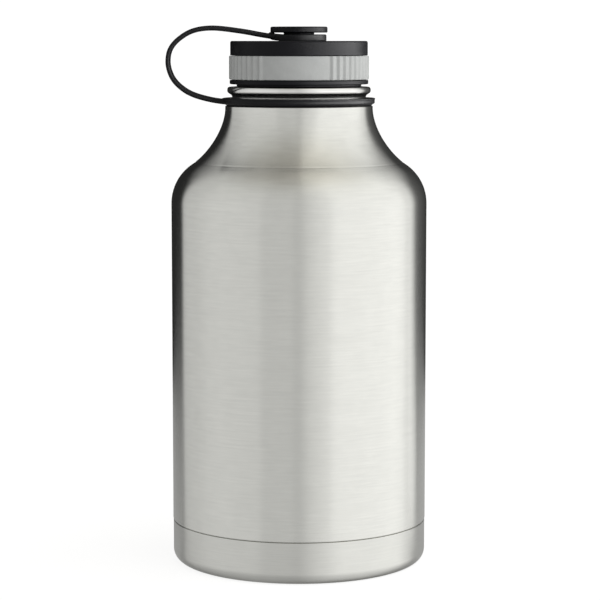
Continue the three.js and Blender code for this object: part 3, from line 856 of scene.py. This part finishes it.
def tether():
    """Collar, strap and eyelet are one silicone moulding, so they are one piece here."""
    inner = GROOVE_R + 0.1 * MM
    low = COLLAR_Z - 0.2 * MM
    collar = turned("collar", rounded([
        (inner, low, 0.3 * MM),
        (COLLAR_R - 2.3 * MM, low, 0.3 * MM),
        (COLLAR_R - 1.5 * MM, low + 0.7 * MM, 0.6 * MM),
        (COLLAR_R - 0.4 * MM, low + 1.2 * MM, 0.5 * MM),
        (COLLAR_R - 0.6 * MM, low + 2.7 * MM, 0.5 * MM),
        (COLLAR_R + 0.05 * MM, low + 3.75 * MM, 0.3 * MM),
        (COLLAR_R - 1.1 * MM, low + 3.7 * MM, 0.6 * MM),
        (COLLAR_R - 2.6 * MM, low + 3.0 * MM, 0.8 * MM),
        (inner, low + 2.9 * MM, 0.3 * MM),
    ]), SILICONE)
    hole = 7.6 * MM
    low = COVER_HIGH_Z - 0.15 * MM
    high = POST_LOW_Z + 2.85 * MM
    lift_x = -8.5 * MM  # to the left of this the eyelet slopes up to meet the strap
    lift_slope = 0.12
    eyelet = turned("eyelet", rounded([
        (hole, low, 0.1 * MM),
        (EYELET_R, low, 0.1 * MM),
        (EYELET_R, high, 0.5 * MM),
        (hole, high, 0.4 * MM),
    ]), SILICONE, SIDES_SMALL)
    for vertex in eyelet.data.vertices:
        vertex.co.z += lift_slope * max(0.0, lift_x - vertex.co.x)
    strap = make_object("strap", *strap_mesh(), SILICONE)
    rib_x = (-14.35 * MM, -12.2 * MM)
    rib_y = (-4.5 * MM, 4.5 * MM)
    rib_z = (257.9 * MM, 260.3 * MM)
    corners = [(x, y, z) for x in rib_x for y in rib_y for z in rib_z]
    sides = [(0, 1, 3, 2), (4, 6, 7, 5), (0, 4, 5, 1), (2, 3, 7, 6), (0, 2, 6, 4), (1, 5, 7, 3)]
    rib = make_object("rib", corners, sides, SILICONE)
    obj = fuse("silicone_tether", [collar, eyelet, strap, rib], voxel=0.34 * MM, smoothing=5)
    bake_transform(obj)
    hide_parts("tether_lower", "tether_upper")


tether()

# ------------------------------------------------------------------ hidden CAD pieces

HIDDEN = {
    "vacuum_seal_bead": SOLDER,
    "getter_pellet": GETTER,
    "getter_clip": STEEL_LINER,
    "cap_insulation": FOAM,
    "pivot_screw": STEEL_SCREW,
    "pivot_washer": STEEL_SCREW,
}
for node_name, material in HIDDEN.items():
    mesh = frame["nodes"][node_name].data
    mesh.materials.clear()
    mesh.materials.append(material)

# ------------------------------------------------------------------ studio

# The studio's brightness by bearing in degrees: 0 is the front, 90 the object's right.
WALLS = [
    (-180, 0.62), (-127, 0.62), (-105, 0.67), (-90, 0.745), (-75, 0.78), (-38, 0.765), (-32, 0.685),
    (-8, 0.69), (-3, 0.64), (1, 0.645), (5, 0.72), (10, 0.81), (16, 0.87), (27, 0.98), (31, 1.09),
    (36, 1.14), (45, 1.16), (75, 1.18), (96, 1.22), (107, 1.16), (114, 0.96), (140, 0.96),
    (180, 0.9),
]
# How much of that two dark cards behind the object leave, by bearing.
CARDS = [
    (-180, 0.03), (-132.5, 0.04), (-129.5, 0.4), (-126.7, 1.0), (120, 1.0), (126, 0.6), (130, 0.25),
    (137, 0.12), (150, 0.08), (160, 0.05), (180, 0.04),
]
CARD_TOP = (0.33, 0.86)  # sines of the elevation between which the cards fade out
# The brightness by the elevation's sine, from the floor up to a slightly warm ceiling.
HEIGHTS = [
    (-1.0, 0.50), (-0.5, 0.64), (-0.3, 0.90), (-0.15, 1.0), (0.0, 0.98), (0.12, 0.92), (0.3, 0.90),
    (0.72, (0.88, 0.88, 0.87)), (0.90, (0.63, 0.62, 0.58)), (0.98, (0.52, 0.50, 0.455)),
    (1.0, (0.50, 0.48, 0.435)),
]
# What the ceiling's panels add or take, from the object's left (-1) to its right (1), and the
# sines of the elevation between which they begin.
CEILING = [
    (-1.0, 1.0), (-0.5, 0.9), (-0.15, 0.97), (0.05, 1.3), (0.3, 1.25), (0.55, 1.08), (0.8, 0.95),
    (1.0, 0.95),
]
CEILING_BOTTOM = (0.6, 0.88)
BACKDROP = 1.05  # the plain white behind everything
WHITE = (1, 1, 1, 1)
FLOOR_REACH = 30.0
FLOOR_TONE = 0.42
FLOOR_GLOW = 0.78
# The painted floor reflection's edges are lines y + slope * x = distance: a slope, and the two
# distances between which the patch sets in or its painted bright strip dies away.
PATCH_LEFT = (0.84, -0.10, -0.06)
PATCH_RIGHT = (-0.55, -0.075, -0.045)
PATCH_STRIP = (-1.0, -0.115, -0.085)
PATCH_R = 0.6
# Painted reflection: the patch glows dimmer on the left and brighter on the right.
PAINTED_REFLECTION_GLOW = ((-0.2, 0.2), (0.35, 0.48))  # between two x, from the first glow to the second
# A painted bright strip of reflection along the patch's right edge.
PAINTED_STRIP_GLOW = 0.52


class Sky(Nodes):
    """The same short way, for the world's nodes."""

    def __init__(self, scene_world):
        self.tree = scene_world.node_tree
        self.tree.nodes.clear()

    def ramp(self, value, stops):
        """Colours through (position, grey or colour) stops."""
        node = self.add("ShaderNodeValToRGB")
        elements = node.color_ramp.elements
        elements.remove(elements[1])
        for i, (position, tone) in enumerate(stops):
            element = elements[0] if i == 0 else elements.new(position)
            element.position = position
            element.color = (*(tone if isinstance(tone, tuple) else (tone,) * 3), 1)
        self.set(node.inputs[0], value)
        return node.outputs[0]

    def product(self, *colors):
        """Colours multiplied channel by channel."""
        result = colors[0]
        for color in colors[1:]:
            node = self.add("ShaderNodeVectorMath", operation="MULTIPLY")
            self.set(node.inputs[0], result)
            self.set(node.inputs[1], color)
            result = node.outputs[0]
        return result


def world():
    """The studio that the object reflects: the walls' light times what the cards, the elevation
    and the ceiling's panels leave of it. Straight behind the object there is only plain white."""
    scene_world = bpy.data.worlds.new("studio")
    bpy.context.scene.world = scene_world
    scene_world.use_nodes = True
    n = Sky(scene_world)
    split = n.add("ShaderNodeSeparateXYZ")
    n.set(split.inputs[0], n.add("ShaderNodeTexCoord").outputs["Generated"])
    x, y, z = split.outputs
    bearing = n.math("ARCTAN2", x, n.math("MULTIPLY", y, -1.0))
    round_share = n.map_range(bearing, -math.pi, math.pi, 0.0, 1.0)
    walls = n.ramp(round_share, [((a + 180) / 360, v) for a, v in WALLS])
    cards = n.ramp(round_share, [((a + 180) / 360, v) for a, v in CARDS])
    above_cards = n.map_range(z, *CARD_TOP, 0.0, 1.0)
    past_cards = n.mix(above_cards, cards, WHITE)
    up_share = n.map_range(z, -1.0, 1.0, 0.0, 1.0)
    heights = n.ramp(up_share, [((h + 1) / 2, v) for h, v in HEIGHTS])
    across_share = n.map_range(x, -1.0, 1.0, 0.0, 1.0)
    across = n.ramp(across_share, [((a + 1) / 2, v) for a, v in CEILING])
    panels = n.mix(n.map_range(z, *CEILING_BOTTOM, 0.0, 1.0), WHITE, across)
    studio = n.add("ShaderNodeBackground")
    n.set(studio.inputs[0], n.product(walls, past_cards, heights, panels))
    backdrop = n.add("ShaderNodeBackground")
    backdrop.inputs[0].default_value = WHITE
    backdrop.inputs[1].default_value = BACKDROP
    choose = n.add("ShaderNodeMixShader")
    n.set(choose.inputs[0], n.add("ShaderNodeLightPath").outputs["Is Camera Ray"])
    n.set(choose.inputs[1], studio)
    n.set(choose.inputs[2], backdrop)
    n.set(n.add("ShaderNodeOutputWorld").inputs[0], choose)


def flat_stage(name, outline, tone):
    """A level stage sheet at the floor's height that can glow, and its nodes."""
    mesh = bpy.data.meshes.new(name)
    mesh.from_pydata(outline, [], [tuple(range(len(outline)))])
    obj = bpy.data.objects.new(name, mesh)
    bpy.context.scene.collection.objects.link(obj)
    n = Nodes(name)
    n.shader.inputs["Base Color"].default_value = (tone, tone, tone, 1)
    n.shader.inputs["Roughness"].default_value = 0.9
    n.shader.inputs["Specular IOR Level"].default_value = 0.1
    n.shader.inputs["Emission Color"].default_value = WHITE
    mesh.materials.append(n.material)
    return obj, n


def floor():
    """A wide pale floor, and a glowing patch close behind the object that only reflections see, a
    painted reflection of the floor for the steel's edges: a wide wedge, darker on the left (painted
    shade), with a painted bright strip along its right edge."""
    reach = FLOOR_REACH
    corners = [(-reach, -reach, 0), (reach, -reach, 0), (reach, reach, 0), (-reach, reach, 0)]
    wide, n = flat_stage("floor", corners, FLOOR_TONE)
    n.shader.inputs["Emission Strength"].default_value = FLOOR_GLOW
    wide.visible_glossy = False
    turns = np.linspace(0, 2 * math.pi, 64, endpoint=False)
    circle = [(PATCH_R * math.cos(a), PATCH_R * math.sin(a), 0.0) for a in turns]
    # A glowing sheet seen only in reflections: a painted reflection of the floor.
    patch, n = flat_stage("floor_reflection_glow", circle, 0.0)
    patch.visible_camera = False
    patch.visible_diffuse = False
    patch.visible_shadow = False
    split = n.add("ShaderNodeSeparateXYZ")
    n.set(split.inputs[0], n.position())
    x, y = split.outputs[:2]

    def across_edge(edge, low, high):
        """From low to high across an edge line."""
        slope, start, end = edge
        distance = n.math("ADD", y, n.math("MULTIPLY", x, slope))
        return n.map_range(distance, start, end, low, high)

    left = across_edge(PATCH_LEFT, 0.0, 1.0)
    right = across_edge(PATCH_RIGHT, 0.0, 1.0)
    n.set(n.shader.inputs["Alpha"], n.math("MULTIPLY", left, right))
    # Painted reflection: the glow is dimmer on the left, plus a painted bright strip on the right.
    between, glows = PAINTED_REFLECTION_GLOW
    glow = n.map_range(x, *between, *glows)
    strip = across_edge(PATCH_STRIP, PAINTED_STRIP_GLOW, 0.0)
    n.set(n.shader.inputs["Emission Strength"], n.math("ADD", glow, strip))


def area_light(name, at, aim, size, power, receivers):
    """A softbox that lights only the given pieces."""
    data = bpy.data.lights.new(name, "AREA")
    data.shape = "RECTANGLE"
    data.size, data.size_y = size
    data.energy = power
    obj = bpy.data.objects.new(name, data)
    obj.location = at
    obj.rotation_euler = (Vector(aim) - Vector(at)).to_track_quat("-Z", "Y").to_euler()
    bpy.context.scene.collection.objects.link(obj)
    lit = bpy.data.collections.new(name + "_lit")
    for receiver in receivers:
        lit.objects.link(receiver)
    obj.light_linking.receiver_collection = lit


def made_of(material):
    """The pieces that carry the material."""
    meshes = [o for o in bpy.context.scene.objects if o.type == "MESH"]
    return [o for o in meshes if o.data.materials and o.data.materials[0] == material]


def camera():
    """A long lens at the front, just below the top's height and tilted down."""
    at = (0.5 * MM, -1.104, 0.256)
    tilt = 6.56  # degrees
    data = bpy.data.cameras.new("camera")
    data.lens = 135.2
    data.sensor_width = 36
    data.clip_end = 100
    obj = bpy.data.objects.new("camera", data)
    obj.location = at
    obj.rotation_euler = (math.radians(90 - tilt), 0, 0)
    bpy.context.scene.collection.objects.link(obj)
    bpy.context.scene.camera = obj


# Softboxes to the right of the cap and in front of it: where each stands and its width and height.
KEY = ((0.91, -0.40, 0.30), (2.4, 0.9))
SIDE = ((0.99, -0.14, 0.30), (0.9, 0.9))
GRIP_KEY = ((0.97, -0.26, 0.30), (0.6, 0.6))
GRIP_FRONT = ((0.08, -1.0, 0.4), (0.3, 0.3))
# Name, softbox, watts and the one material that it lights.
LIGHTS = [
    ("black_key", KEY, 35.0, BLACK),
    ("black_side", SIDE, 5.0, BLACK),
    ("silicone_key", KEY, 62.0, SILICONE),
    ("silicone_side", SIDE, 12.0, SILICONE),
    ("grey_key", GRIP_KEY, 9.9, GREY),
    ("grey_front", GRIP_FRONT, 2.1, GREY),
]

CAP_MIDDLE = (0, 0, BAND_HIGH_Z)

world()
floor()
for light_name, (light_at, light_size), watts, lit_material in LIGHTS:
    area_light(light_name, light_at, CAP_MIDDLE, light_size, watts, made_of(lit_material))
camera()
bpy.context.scene.view_settings.view_transform = "Standard"
